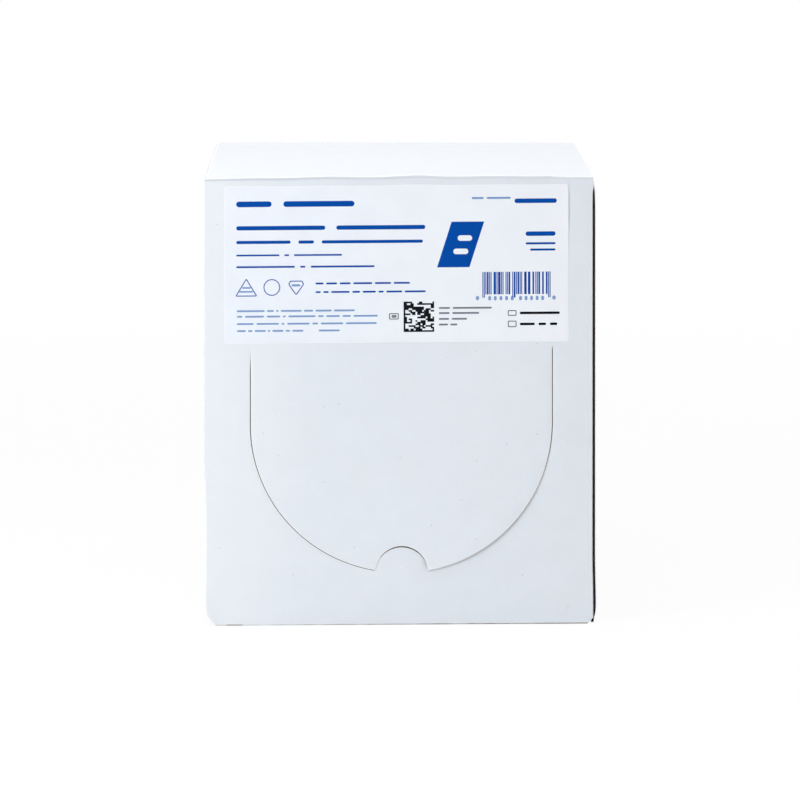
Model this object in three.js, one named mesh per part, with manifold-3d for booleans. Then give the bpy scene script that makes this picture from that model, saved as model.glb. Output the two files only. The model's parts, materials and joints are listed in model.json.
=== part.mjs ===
// A corrugated dispenser carton: a folded board box with glued end panels, a U-shaped
// pull-up flap cut in its front, and a paper label stuck above the flap.
// Millimetres, +Z up. The front faces -Y. The origin is the centre of the base.
import * as THREE from "three";
import { mergeVertices } from "three/addons/utils/BufferGeometryUtils.js";
import Module from "manifold-3d";

const wasm = await Module();
wasm.setup();

// Board and box, measured outside
const WIDTH = 141.5; // X, over both end panels
const DEPTH = 150; // Y
const HEIGHT = 163; // Z
const BOARD = 1.5; // thickness of the corrugated board
const FOLD_RADIUS = 2; // outside radius of every fold
const FOLD_INNER_RADIUS = 0.4;

// End panels: the left one folds from the front, the right one from the back
const END_INSET = 2.2; // how far an end panel stays short of the box's top and base
const END_CORNER_RADIUS = 4; // free corners of an end panel
const GLUE_FLAP_LENGTH = 60; // inner flap at each end, that the end panel is glued to
const GLUE_FLAP_INSET = 3;

// Label
const LABEL_WIDTH = 124;
const LABEL_HEIGHT = 57;
const LABEL_THICKNESS = 0.15;
const LABEL_CORNER_RADIUS = 1.5;
const LABEL_TOP_MARGIN = 2.8; // from the box's top to the label
const LABEL_OFFSET_X = -1.2;
const LABEL_TILT_DEGREES = 0.15; // it was stuck on a little crooked, right side up

// Flap
const FLAP_WIDTH = 109;
const FLAP_OFFSET_X = 0.4;
const FLAP_BASE_MARGIN = 19.2; // from the box's base to the flap's lowest point
const FLAP_TO_LABEL = 2; // from the label's lower edge to the hinge crease
const CUT_GAP = 0.3; // width of the die cut round the flap, and of the crease
const NOTCH_RADIUS = 9.5; // half-round thumb notch in the flap's lower edge

// Facets in each quarter turn of a round
const FOLD_FACETS = 5;
const CORNER_FACETS = 6;
const NOTCH_FACETS = 14;
const FLAP_FACETS = 34;

const OVERRUN = 5; // how far a cutting solid runs past what it cuts

const boxRight = WIDTH / 2;
const tubeRight = boxRight - BOARD; // where the end panel lies on the tube's end
const front = -DEPTH / 2;
const back = DEPTH / 2;
const hingeHeight = HEIGHT - LABEL_TOP_MARGIN - LABEL_HEIGHT - FLAP_TO_LABEL;

// An outline from (left, low) to (right, high), with its own radius at each corner in
// the order lower left, lower right, upper right, upper left.
function roundedOutline(path, left, low, right, high, radii) {
  const [lowerLeft, lowerRight, upperRight, upperLeft] = radii;
  path.moveTo(left + lowerLeft, low);
  path.lineTo(right - lowerRight, low);
  if (lowerRight > 0)
    path.absarc(right - lowerRight, low + lowerRight, lowerRight, -Math.PI / 2, 0);
  path.lineTo(right, high - upperRight);
  if (upperRight > 0)
    path.absarc(right - upperRight, high - upperRight, upperRight, 0, Math.PI / 2);
  path.lineTo(left + upperLeft, high);
  if (upperLeft > 0)
    path.absarc(left + upperLeft, high - upperLeft, upperLeft, Math.PI / 2, Math.PI);
  path.lineTo(left, low + lowerLeft);
  if (lowerLeft > 0)
    path.absarc(left + lowerLeft, low + lowerLeft, lowerLeft, Math.PI, 1.5 * Math.PI);
  return path;
}

function prism(shape, depth, facets) {
  return new THREE.ExtrudeGeometry(shape, {
    depth,
    bevelEnabled: false,
    curveSegments: facets,
  });
}

// Extrudes an outline drawn in (y, z) along X.
function prismAlongX(shape, startX, endX, facets) {
  const axes = new THREE.Matrix4().makeBasis(
    new THREE.Vector3(0, 1, 0),
    new THREE.Vector3(0, 0, 1),
    new THREE.Vector3(1, 0, 0),
  );
  const geometry = prism(shape, endX - startX, facets).applyMatrix4(axes);
  return geometry.translate(startX, 0, 0);
}

// Extrudes an outline drawn in (x, z) along Y.
function prismAlongY(shape, startY, endY, facets) {
  const geometry = prism(shape, endY - startY, facets).rotateX(Math.PI / 2);
  return geometry.translate(0, endY, 0);
}

// Extrudes an outline drawn in (x, y) along Z.
function prismAlongZ(shape, startZ, endZ, facets) {
  return prism(shape, endZ - startZ, facets).translate(0, 0, startZ);
}

function toSolid(geometry) {
  const bare = geometry.clone();
  bare.deleteAttribute("normal");
  bare.deleteAttribute("uv");
  const merged = mergeVertices(bare, 1e-4);
  return new wasm.Manifold(
    new wasm.Mesh({
      numProp: 3,
      vertProperties: merged.attributes.position.array,
      triVerts: new Uint32Array(merged.index.array),
    }),
  );
}

function toGeometry(solid) {
  const mesh = solid.getMesh();
  const geometry = new THREE.BufferGeometry();
  geometry.setAttribute("position", new THREE.BufferAttribute(mesh.vertProperties, 3));
  geometry.setIndex(new THREE.BufferAttribute(mesh.triVerts, 1));
  geometry.computeVertexNormals();
  return geometry;
}

// The four walls that wrap round the X axis: base, front, top and back.
function makeTube() {
  const outer = new THREE.Shape();
  roundedOutline(outer, front, 0, back, HEIGHT, Array(4).fill(FOLD_RADIUS));
  const hole = new THREE.Path();
  const innerRadii = Array(4).fill(FOLD_INNER_RADIUS);
  roundedOutline(hole, front + BOARD, BOARD, back - BOARD, HEIGHT - BOARD, innerRadii);
  outer.holes.push(hole);
  return toSolid(prismAlongX(outer, -tubeRight, tubeRight, FOLD_FACETS));
}

// An outer end panel. side is -1 for the left end and 1 for the right. It folds from the
// front at the left and from the back at the right, and its other two corners are rounded.
function makeEndPanel(side) {
  const cut = END_CORNER_RADIUS;
  const radii = side < 0 ? [0, cut, cut, 0] : [cut, 0, 0, cut];
  const outline = new THREE.Shape();
  roundedOutline(outline, front, END_INSET, back, HEIGHT - END_INSET, radii);
  const start = side < 0 ? -boxRight : tubeRight;
  return toSolid(prismAlongX(outline, start, start + BOARD, CORNER_FACETS));
}

// The inner flap that an end panel is glued to, folded from the opposite wall.
function makeGlueFlap(side) {
  const cut = END_CORNER_RADIUS;
  const fromFront = side > 0;
  const near = fromFront ? front : back - GLUE_FLAP_LENGTH;
  const radii = fromFront ? [0, cut, cut, 0] : [cut, 0, 0, cut];
  const outline = new THREE.Shape();
  const high = HEIGHT - GLUE_FLAP_INSET;
  roundedOutline(outline, near, GLUE_FLAP_INSET, near + GLUE_FLAP_LENGTH, high, radii);
  const start = side < 0 ? -tubeRight : tubeRight - BOARD;
  return toSolid(prismAlongX(outline, start, start + BOARD, CORNER_FACETS));
}

// What a vertical fold rounds off a square corner at (x, y): the square less a quarter
// disc. towardX and towardY point from the corner into the board, and pastX is how far
// the cut runs on beyond the corner in X.
function makeFoldWaste(x, y, towardX, towardY, pastX) {
  const centreX = x + towardX * FOLD_RADIUS;
  const centreY = y + towardY * FOLD_RADIUS;
  const waste = new THREE.Shape();
  waste.moveTo(x, centreY);
  for (let step = 1; step < FOLD_FACETS; step++) {
    const angle = (step / FOLD_FACETS) * (Math.PI / 2);
    waste.lineTo(
      centreX - towardX * FOLD_RADIUS * Math.cos(angle),
      centreY - towardY * FOLD_RADIUS * Math.sin(angle),
    );
  }
  waste.lineTo(centreX, y);
  waste.lineTo(centreX, y - towardY * OVERRUN);
  waste.lineTo(x - towardX * pastX, y - towardY * OVERRUN);
  if (pastX > 0) waste.lineTo(x - towardX * pastX, centreY);
  waste.closePath();
  return toSolid(prismAlongZ(waste, -OVERRUN, HEIGHT + OVERRUN, FOLD_FACETS));
}

// The four vertical folds: each end panel's own, and the one of the glue flap behind its
// free edge, which leaves a narrow groove beside the end panel.
function makeFoldWastes() {
  return [
    makeFoldWaste(-boxRight, front, 1, 1, OVERRUN),
    makeFoldWaste(boxRight, back, -1, -1, OVERRUN),
    makeFoldWaste(tubeRight, front, -1, 1, 0),
    makeFoldWaste(-tubeRight, back, 1, -1, 0),
  ];
}

// The flap's outline grown by a margin: straight sides that run into one round end, whose
// radius is half the width unless the flap is too short for that.
function makeFlapOutline(margin) {
  const left = FLAP_OFFSET_X - FLAP_WIDTH / 2 - margin;
  const right = FLAP_OFFSET_X + FLAP_WIDTH / 2 + margin;
  const low = FLAP_BASE_MARGIN - margin;
  const high = hingeHeight - CUT_GAP / 2 + margin;
  const round = Math.min((right - left) / 2, high - low);
  const outline = new THREE.Shape();
  return roundedOutline(outline, left, low, right, high, [round, round, 0, 0]);
}

function makeNotchDisc(margin, startY, endY) {
  const disc = new THREE.Shape();
  disc.absarc(FLAP_OFFSET_X, FLAP_BASE_MARGIN, NOTCH_RADIUS - margin, 0, 2 * Math.PI);
  return toSolid(prismAlongY(disc, startY, endY, 4 * NOTCH_FACETS));
}

// The hole that the flap leaves, with the half-round tab that shows in the thumb notch.
function makeMouth() {
  const startY = front - OVERRUN;
  const endY = front + BOARD + OVERRUN;
  const outline = makeFlapOutline(CUT_GAP);
  const mouth = toSolid(prismAlongY(outline, startY, endY, FLAP_FACETS));
  return mouth.subtract(makeNotchDisc(CUT_GAP, startY - OVERRUN, endY + OVERRUN));
}

function makeCarton() {
  let body = makeTube();
  for (const side of [-1, 1]) body = body.add(makeEndPanel(side)).add(makeGlueFlap(side));
  for (const waste of makeFoldWastes()) body = body.subtract(waste);
  return toGeometry(body.subtract(makeMouth()));
}

function makeFlap() {
  const outline = makeFlapOutline(0);
  const blank = toSolid(prismAlongY(outline, front, front + BOARD, FLAP_FACETS));
  const notch = makeNotchDisc(0, front - OVERRUN, front + BOARD + OVERRUN);
  return toGeometry(blank.subtract(notch));
}

// Drawn about its own centre, with its back on y = 0.
function makeLabel() {
  const outline = new THREE.Shape();
  const halfWidth = LABEL_WIDTH / 2;
  const halfHeight = LABEL_HEIGHT / 2;
  const radii = Array(4).fill(LABEL_CORNER_RADIUS);
  roundedOutline(outline, -halfWidth, -halfHeight, halfWidth, halfHeight, radii);
  return toGeometry(toSolid(prismAlongY(outline, -LABEL_THICKNESS, 0, CORNER_FACETS)));
}

function addMesh(parent, name, geometry, color, roughness) {
  const material = new THREE.MeshStandardMaterial({ color, roughness, metalness: 0 });
  const mesh = new THREE.Mesh(geometry, material);
  mesh.name = name;
  parent.add(mesh);
  return mesh;
}

const box = new THREE.Group();
addMesh(box, "carton", makeCarton(), 0xe9eef4, 0.75);
addMesh(box, "dispenser_flap", makeFlap(), 0xe9eef4, 0.75);
const label = addMesh(box, "label", makeLabel(), 0xf1f5fa, 0.45);
label.position.set(LABEL_OFFSET_X, front, HEIGHT - LABEL_TOP_MARGIN - LABEL_HEIGHT / 2);
label.rotation.y = -THREE.MathUtils.degToRad(LABEL_TILT_DEGREES);

export default box;
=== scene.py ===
import json
import math
import random
from collections import namedtuple

import bpy
import numpy as np
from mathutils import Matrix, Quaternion, Vector
from mathutils.geometry import delaunay_2d_cdt


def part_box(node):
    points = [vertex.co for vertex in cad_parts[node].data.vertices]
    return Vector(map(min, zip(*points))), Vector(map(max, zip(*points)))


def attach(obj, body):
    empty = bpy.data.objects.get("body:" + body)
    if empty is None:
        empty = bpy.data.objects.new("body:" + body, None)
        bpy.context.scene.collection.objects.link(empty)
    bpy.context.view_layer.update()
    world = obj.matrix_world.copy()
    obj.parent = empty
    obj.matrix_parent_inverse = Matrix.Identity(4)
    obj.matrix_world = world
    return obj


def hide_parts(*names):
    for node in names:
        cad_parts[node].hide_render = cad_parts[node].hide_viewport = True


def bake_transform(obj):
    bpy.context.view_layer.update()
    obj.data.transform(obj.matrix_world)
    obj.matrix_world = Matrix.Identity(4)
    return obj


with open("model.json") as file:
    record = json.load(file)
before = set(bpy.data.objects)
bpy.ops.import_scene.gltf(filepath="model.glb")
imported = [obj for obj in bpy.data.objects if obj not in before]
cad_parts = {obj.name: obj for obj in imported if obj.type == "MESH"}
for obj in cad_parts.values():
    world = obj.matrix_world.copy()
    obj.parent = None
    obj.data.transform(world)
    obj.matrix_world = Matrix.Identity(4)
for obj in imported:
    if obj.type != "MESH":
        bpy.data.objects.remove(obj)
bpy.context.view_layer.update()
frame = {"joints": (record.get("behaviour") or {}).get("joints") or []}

MM = 0.001

# ---- sizes from the CAD model

carton_low, carton_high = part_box("carton")
flap_low, flap_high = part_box("dispenser_flap")
label_low, label_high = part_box("label")
hinge = Vector(frame["joints"][0]["pos_m"])

left = carton_low.x
right = carton_high.x
front = carton_low.y
back = carton_high.y
height = carton_high.z
depth = back - front
board = flap_high.y - flap_low.y

# ---- board, folds and cuts

LINER = 0.3 * MM  # thickness of each outer layer of the board
FLUTING = 0.2 * MM  # thickness of the wavy sheet between them
FLUTE_PITCH = 3.5 * MM
FLUTE_RECESS = 0.12 * MM  # how far the fluting stays inside a cut edge
FLUTE_STEP = FLUTE_PITCH / 7  # between rows of points across the flutes
FLUTE_GRID = 24 * MM  # between columns of points along them
GRID = 4 * MM  # between rows and columns in the liners

FOLD_RADIUS = 0.4 * MM  # of the outer face
INNER_FOLD_RADIUS = 0.25 * MM
FOLD_REACH = 2.2 * MM  # how far from the corner a fold reaches
FOLD_MARKS = np.array([0, 0.2, 0.4, 0.8, 1.2, 1.6, 2.2, 3.2]) * MM  # rows of points beside a fold
CORNER_MARKS = np.array([5, 7, 9, 11, 14, 20, 28, 38]) * MM  # columns beside a crushed corner
CORNER_ROWS = np.arange(0.8, 10, 0.8) * MM
TAB_MARKS = np.array([5.5, 6.5, 7.3, 8.1, 8.9, 9.7]) * MM  # columns across the thumb tab's dent

EDGE_BAND = 0.35 * MM  # width of the worn, rounded band along a cut, whitened as wear and partly as a painted highlight
EDGE_DROP = 0.04 * MM  # how far the knife rounds the outer liner down
GLUE_GAP = 0.05 * MM  # between boards that are glued face to face
PRESSED = 0.63  # share of its thickness that an end panel kept when it was glued

LEFT_TOP_INSET = 0.15 * MM  # how far the end panels stay below the top,
RIGHT_TOP_INSET = 2.0 * MM
LEFT_FOOT_INSET = 1.2 * MM  # and above the base
RIGHT_FOOT_INSET = 0.15 * MM
GLUE_FLAP = 60 * MM
GLUE_INSET = 1.7 * MM
FREE_CORNER = 4 * MM  # radius of the free corners of panels and glue flaps
FOOT_CORNER = 0.8 * MM  # the right end panel's lower front corner
DOG_EAR = 2.2 * MM  # cut off the front's lower right corner, across and up
BASE_TRIM = 9 * MM  # the cut runs on this far along the base

NOTCH_RADIUS = 9.5 * MM
FLAP_SHIFT = 0.2 * MM  # the die ran this far to the right of its drawing
FLAP_SLANT = 0.004  # and its round edge this share higher towards the right
KERF = 0.34 * MM  # width of the die cut beside the flap
LEFT_ARC_KERF = 0.28 * MM  # and along its round lower edge
RIGHT_ARC_KERF = 0.14 * MM
NICK_KERF = 0.08 * MM  # where the knife barely went through
CROWN_KERF = 0.5 * MM  # at the top of the thumb notch, where fingers have pulled
SEAM_ABOVE_LABEL_EDGE = 1.2 * MM  # the flap's board runs on up behind the label

tube_left = left + PRESSED * board + GLUE_GAP
tube_right = right - PRESSED * board - GLUE_GAP
flap_radius = (flap_high.x - flap_low.x) / 2
flap_middle = (flap_high.x + flap_low.x) / 2 + FLAP_SHIFT
flap_base = flap_low.z - NOTCH_RADIUS ** 2 / (2 * flap_radius)
seam_height = label_low.z + SEAM_ABOVE_LABEL_EDGE

# The blank runs in v right round the box from its lower rear corner, and in u across it.
# A wall's corner, direction and outward face are in (y, z).
Wall = namedtuple("Wall", "start length corner direction outward")
base_wall = Wall(0, depth, (back, 0), (-1, 0), (0, -1))
front_wall = Wall(depth, height, (front, 0), (0, 1), (-1, 0))
top_wall = Wall(depth + height, depth, (front, height), (1, 0), (0, 1))
back_wall = Wall(2 * depth + height, height, (back, height), (0, -1), (1, 0))
walls = (base_wall, front_wall, top_wall, back_wall)
blank_end = back_wall.start + back_wall.length

# An ear folds round a vertical crease: an end panel, or the glue flap under one. It runs
# from low to high in v.
Ear = namedtuple("Ear", "wall side crease length tip low high last_corner")


def ear_on(wall, side, crease, length, start_inset, end_inset, last_corner=FREE_CORNER):
    low = wall.start + start_inset
    high = wall.start + wall.length - end_inset
    return Ear(wall, side, crease, length, crease + side * length, low, high, last_corner)


left_panel = ear_on(front_wall, -1, left, depth, LEFT_FOOT_INSET, LEFT_TOP_INSET)
right_glue = ear_on(front_wall, 1, tube_right, GLUE_FLAP, DOG_EAR, GLUE_INSET)
right_panel = ear_on(back_wall, 1, right, depth, RIGHT_TOP_INSET, RIGHT_FOOT_INSET, FOOT_CORNER)
left_glue = ear_on(back_wall, -1, tube_left, GLUE_FLAP, GLUE_INSET, GLUE_INSET)
ears = (left_panel, right_glue, right_panel, left_glue)


# ---- outlines in the blank

def rounded(corners, step=0.5 * MM):
    """A closed line through (u, v, radius) corners, with each corner rounded."""
    line = []
    for number, (u, v, radius) in enumerate(corners):
        corner = np.array([u, v])
        if radius == 0:
            line.append(corner)
            continue
        to_last = np.array(corners[number - 1][:2]) - corner
        to_next = np.array(corners[(number + 1) % len(corners)][:2]) - corner
        to_last /= np.linalg.norm(to_last)
        to_next /= np.linalg.norm(to_next)
        half = math.acos(np.clip(to_last @ to_next, -1, 1)) / 2
        middle = (to_last + to_next) / np.linalg.norm(to_last + to_next)
        centre = corner + middle * radius / math.sin(half)
        arm = corner + to_last * radius / math.tan(half) - centre
        bends_left = to_next[0] * to_last[1] - to_next[1] * to_last[0] > 0
        turn = (math.pi - 2 * half) * (1 if bends_left else -1)
        steps = max(2, math.ceil(radius * abs(turn) / step))
        for angle in np.linspace(0, turn, steps + 1):
            cos, sin = math.cos(angle), math.sin(angle)
            line.append(centre + [arm[0] * cos - arm[1] * sin, arm[0] * sin + arm[1] * cos])
    return np.array(line)


def arc(centre, radius, start_degrees, end_degrees, step):
    """Points on an arc, both ends included."""
    start, end = math.radians(start_degrees), math.radians(end_degrees)
    angles = np.linspace(start, end, 1 + math.ceil(abs(end - start) * radius / step))
    return np.array(centre) + radius * np.column_stack([np.cos(angles), np.sin(angles)])


def offset(loop, amount):
    """The closed line moved to its left by an amount, which may differ at each point."""
    ahead = np.roll(loop, -1, axis=0) - loop
    ahead /= np.linalg.norm(ahead, axis=1)[:, None]
    behind = np.roll(ahead, 1, axis=0)
    normals = np.column_stack([-ahead[:, 1] - behind[:, 1], ahead[:, 0] + behind[:, 0]])
    mitre = 1 + (ahead * behind).sum(axis=1)
    reach = np.broadcast_to(amount, len(loop)) / np.maximum(mitre, 0.3)
    return loop + normals * reach[:, None]


def ear_corners(ear, tube_edge):
    """An ear's outline from its wall's raw edge and back, in the order of growing v."""
    low_edge = [(tube_edge, ear.low, 0), (ear.tip, ear.low, FREE_CORNER)]
    return low_edge + [(ear.tip, ear.high, ear.last_corner), (tube_edge, ear.high, 0)]


def blank_outline():
    return rounded([
        (tube_left, 0, 0),
        (tube_right, 0, 0),
        (tube_right, front_wall.start - BASE_TRIM, 0),
        (tube_right - DOG_EAR, front_wall.start, 0.6 * MM),
        *ear_corners(right_glue, tube_right),
        *ear_corners(right_panel, tube_right),
        (tube_right, blank_end, 0),
        (tube_left, blank_end, 0),
        *ear_corners(left_glue, tube_left)[::-1],
        *ear_corners(left_panel, tube_left)[::-1],
    ])


def flap_outline():
    """The flap's nominal edge, anticlockwise from the left point of its thumb notch."""
    base = front_wall.start + flap_base
    point_rise = NOTCH_RADIUS ** 2 / (2 * flap_radius)
    notch_turn = math.degrees(math.asin(point_rise / NOTCH_RADIUS))
    point_turn = 2 * math.degrees(math.asin(NOTCH_RADIUS / (2 * flap_radius)))
    notch = arc((flap_middle, base), NOTCH_RADIUS, 180 - notch_turn, notch_turn, 0.4 * MM)
    centre = (flap_middle, base + flap_radius)
    right_sweep = arc(centre, flap_radius, point_turn - 90, 0, 0.8 * MM)
    left_sweep = arc(centre, flap_radius, 180, 270 - point_turn, 0.8 * MM)
    heights = np.linspace(base + flap_radius, front_wall.start + seam_height, 24)[1:]
    reach = np.full(len(heights), flap_radius)
    right_side = np.column_stack([flap_middle + reach, heights])
    left_side = np.column_stack([flap_middle - reach, heights[::-1]])
    outline = np.concatenate([notch, right_sweep[1:], right_side, left_side, left_sweep[:-1]])
    outline[:, 1] += FLAP_SLANT * (outline[:, 0] - flap_middle)
    return outline


def kerf_along(outline):
    """Width of the die cut at each point: none above the crease, a hair just under it at the
    left, and widest over the thumb notch."""
    u, v = outline.T
    z = v - front_wall.start
    arc_kerf = np.where(u < flap_middle, LEFT_ARC_KERF, RIGHT_ARC_KERF)
    on_arc = ramp(z, flap_base + flap_radius, flap_base + 0.6 * flap_radius)
    kerf = KERF + (arc_kerf - KERF) * on_arc
    nicked = np.where(u < flap_middle, ramp(z, hinge.z - 8 * MM, hinge.z - 2 * MM), 0)
    kerf += nicked * (NICK_KERF - kerf)
    notch = np.hypot(u - flap_middle, z - flap_base) < NOTCH_RADIUS * 1.01
    crown = np.clip(((z - flap_base) / NOTCH_RADIUS - 0.3) / 0.7, 0, 1)
    crown = np.where(u > flap_middle, crown ** 0.9, crown ** 1.8)
    kerf[notch] = (0.04 * MM + CROWN_KERF * crown)[notch]
    kerf[z > hinge.z + 0.1 * MM] = 0
    return kerf


# ---- cutting a flat region

Region = namedtuple("Region", "points triangles border")


def split_line(loop, rows, columns):
    """The closed line with a point added wherever it crosses a row or a column."""
    ends = np.roll(loop, -1, axis=0)
    made = []
    for start, end in zip(loop, ends):
        shares = {0.0}
        for axis, marks in ((0, columns), (1, rows)):
            low, high = sorted((start[axis], end[axis]))
            crossed = marks[(marks > low) & (marks < high)]
            shares.update((crossed - start[axis]) / (end[axis] - start[axis]))
        made += [start + (end - start) * share for share in sorted(shares)]
    return made


def inside(points, loops):
    """Which points have an odd number of edges to their right."""
    odd = np.zeros(len(points), bool)
    for loop in loops:
        for start, end in zip(loop, np.roll(loop, -1, axis=0)):
            spans = (start[1] > points[:, 1]) != (end[1] > points[:, 1])
            if spans.any():
                share = (points[spans, 1] - start[1]) / (end[1] - start[1])
                odd[spans] ^= points[spans, 0] < start[0] + share * (end[0] - start[0])
    return odd


def cut_region(loops, rows, columns, band=0.0):
    """Triangles that fill the loops, which have material on their left, on a grid of rows
    and columns, with a second line a band inside each loop."""
    points = []
    edges = []
    lines = [line for loop in loops for line in ([loop, offset(loop, band)] if band else [loop])]
    for line in lines:
        first = len(points)
        points += split_line(line, rows, columns)
        count = len(points) - first
        edges += [(first + i, first + (i + 1) % count) for i in range(count)]
    grid = np.array([(u, v) for u in columns for v in rows]).reshape(-1, 2)
    clear = max(1.8 * band, 0.1 * MM)
    points += list(grid[inside(grid, [offset(loop, clear) for loop in loops])])
    cut = delaunay_2d_cdt([Vector(point) for point in points], edges, [], 0, 1e-7, False)
    flat = np.array([tuple(point) for point in cut[0]])
    triangles = np.array(cut[2])
    triangles = triangles[inside(flat[triangles].mean(axis=1), loops)]
    ahead = flat[triangles[:, 1]] - flat[triangles[:, 0]]
    across = flat[triangles[:, 2]] - flat[triangles[:, 0]]
    clockwise = ahead[:, 0] * across[:, 1] < ahead[:, 1] * across[:, 0]
    triangles[clockwise] = triangles[clockwise][:, ::-1]
    used, triangles = np.unique(triangles, return_inverse=True)
    triangles = triangles.reshape(-1, 3)
    directed = {(t[i], t[(i + 1) % 3]) for t in triangles.tolist() for i in range(3)}
    border = np.array(sorted(edge for edge in directed if edge[::-1] not in directed))
    return Region(flat[used], triangles, border)


def spread(start, end, pitch):
    """Even marks from start to end, about a pitch apart."""
    return np.linspace(start, end, 1 + max(1, round(abs(end - start) / pitch)))


def merged_marks(marks, closest=0.12 * MM):
    """Sorted marks without those that nearly repeat the one before."""
    marks = np.sort(marks)
    return marks[np.concatenate([[True], np.diff(marks) > closest])]


def blank_rows(pitch):
    """Marks along v: close beside each fold, and a pitch apart between them."""
    rows = []
    for wall in walls:
        plain = spread(FOLD_MARKS[-1], wall.length - FOLD_MARKS[-1], pitch)
        rows.append(wall.start + np.concatenate([FOLD_MARKS, plain, wall.length - FOLD_MARKS]))
    rows += [front_wall.start + CORNER_ROWS, blank_end - CORNER_ROWS]
    rows.append(front_wall.start + flap_base + spread(-4 * MM, 10 * MM, 1 * MM))
    return merged_marks(np.concatenate(rows))


def blank_columns(pitch):
    """Marks across u, in the walls and out along the ears."""
    marks = [spread(tube_left + FOLD_MARKS[-1], tube_right - FOLD_MARKS[-1], pitch)]
    for ear in ears:
        marks += [ear.crease + FOLD_MARKS, ear.crease - FOLD_MARKS]
        marks.append(spread(ear.crease + ear.side * FOLD_MARKS[-1], ear.tip, pitch))
    marks += [left_panel.crease - CORNER_MARKS, right_panel.tip - CORNER_MARKS[:5]]
    marks += [right_glue.crease + CORNER_MARKS[:5], flap_middle + TAB_MARKS]
    return merged_marks(np.concatenate(marks))


# ---- folding and settling

def round_crease(distance, depth_in):
    """How far along the wall and how far inward a point of the board lies, from its distance
    to the outer corner along the outer face."""
    radius = FOLD_RADIUS + (INNER_FOLD_RADIUS - FOLD_RADIUS) * depth_in / board
    centre = depth_in + radius
    turn = math.pi / 4 * np.clip(1 - distance / FOLD_RADIUS, 0, 1)
    stretch = np.clip((distance - FOLD_RADIUS) / (FOLD_REACH - FOLD_RADIUS), 0, 1)
    straight = centre + (FOLD_REACH - centre) * stretch + np.maximum(distance - FOLD_REACH, 0)
    along = np.where(distance < FOLD_RADIUS, centre - radius * np.sin(turn), straight)
    return along, centre - radius * np.cos(turn)


def fold_up(points, depth_in):
    """Points of the flat blank, each at its depth under the outer face, folded into a box."""
    u, v = points.T
    x = u.copy()
    y = np.zeros(len(u))
    z = np.zeros(len(u))
    for wall in walls:
        here = (v >= wall.start) & (v <= wall.start + wall.length)
        distance = v[here] - wall.start
        beyond_middle = distance > wall.length / 2
        nearest = np.where(beyond_middle, wall.length - distance, distance)
        along, inward = round_crease(nearest, depth_in[here])
        along = np.where(beyond_middle, wall.length - along, along)
        y[here] = wall.corner[0] + along * wall.direction[0] - inward * wall.outward[0]
        z[here] = wall.corner[1] + along * wall.direction[1] - inward * wall.outward[1]
    for ear in ears:
        wall = ear.wall
        to_crease = ear.side * (ear.crease - u)
        on_this_wall = (v >= wall.start) & (v <= wall.start + wall.length)
        here = on_this_wall & (to_crease < FOLD_REACH)
        on_wall = to_crease[here] >= 0
        along, inward = round_crease(np.abs(to_crease[here]), depth_in[here])
        pressed = 1 if ear.length == GLUE_FLAP else PRESSED
        kept = np.where(on_wall, 1 - (1 - pressed) * (1 - ramp(along, 0, FOLD_REACH)), pressed)
        x[here] = ear.crease - ear.side * np.where(on_wall, along, inward) * kept
        outward = wall.outward[0]
        from_face = np.maximum(np.where(on_wall, inward, along), (wall.corner[0] - y[here]) * outward)
        y[here] = wall.corner[0] - outward * from_face
        level = wall.corner[1] + (v[here] - wall.start) * wall.direction[1]
        z[here] = np.where(on_wall, z[here], level)
    return np.column_stack([x, y, z])


TAPER = 0.0118  # the box is this share narrower at its top than at its base
LEAN = 0.6 * MM  # how far the top leans to the right
TWIST = 0.81 * MM  # how much lower the top's rear right corner is than the left
REAR_DROP = 0.48 * MM  # how far the top's rear edge has sunk
REAR_SHIFT = 0.72 * MM  # and how far it leans to the right
BOW = 0.25 * MM  # how far the walls bulge or sag
WAIST = 0.27 * MM  # how far the right end is drawn in above its foot
CREASE_LIFT = 0.2 * MM  # how far the front top crease stands up
CREASE_BUMP = 0.4 * MM  # and how much more where it kicked up
CREASE_WAVE = 0.12 * MM
LEFT_DROOP = 0.5 * MM  # how far the crease's ends hang
RIGHT_DROOP = 0.62 * MM
CREASE_LIP = 0.3 * MM  # how far the crease stands out over the pressed score under it
LEFT_CRUSH = 3.75 * MM  # how far the front's lower corners are crushed in,
LEFT_CRUSH_HEIGHT = 9 * MM  # how far up
LEFT_CRUSH_REACH = 40 * MM  # and how far back along the end panel
RIGHT_CRUSH = 0.85 * MM
RIGHT_CRUSH_HEIGHT = 6.8 * MM
RIGHT_CRUSH_REACH = 14 * MM
FOOT_TUCK = 1.2 * MM  # how far the right panel's crushed foot is pushed back
CORNER_FLARE = 0.42 * MM  # the right fold stands out near its top
FLARE_DROP = 3.1 * MM
RIM_ROLL = 0.97  # share of its thickness that the left panel's upper rim loses
RIM_ROLL_DROP = 2.0  # how far the rim sinks for each unit of depth in the panel
RIM_HEIGHT = 1.4 * MM
RIM_SQUEEZE = 0.9  # share of its thickness that the right panel's upper edge loses
RIM_SQUEEZE_HEIGHT = 2.7 * MM
PANEL_DENT = 0.64 * MM  # how far the lower part of the left fold is pushed in,
DENT_DEPTH = 0.2 * MM  # how much more at its deepest
UPPER_DENT = 0.12 * MM  # and how far at its upper end
TAB_DENT = 0.48 * MM  # how far the right side of the thumb tab is pushed in


def swell(value, middle, width):
    """A smooth bump, 1 at the middle and fading out over the width."""
    return np.exp(-(((value - middle) / width) ** 2))


def ramp(value, start, end):
    """A smooth step from 0 at start to 1 at end."""
    share = np.clip((value - start) / (end - start), 0, 1)
    return share * share * (3 - 2 * share)


def crushed(outward, limit, softness):
    """Keeps a distance softly below a limit, without changing the order of the layers."""
    beyond = outward - limit
    return limit + (beyond - np.hypot(beyond, softness)) / 2


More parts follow.
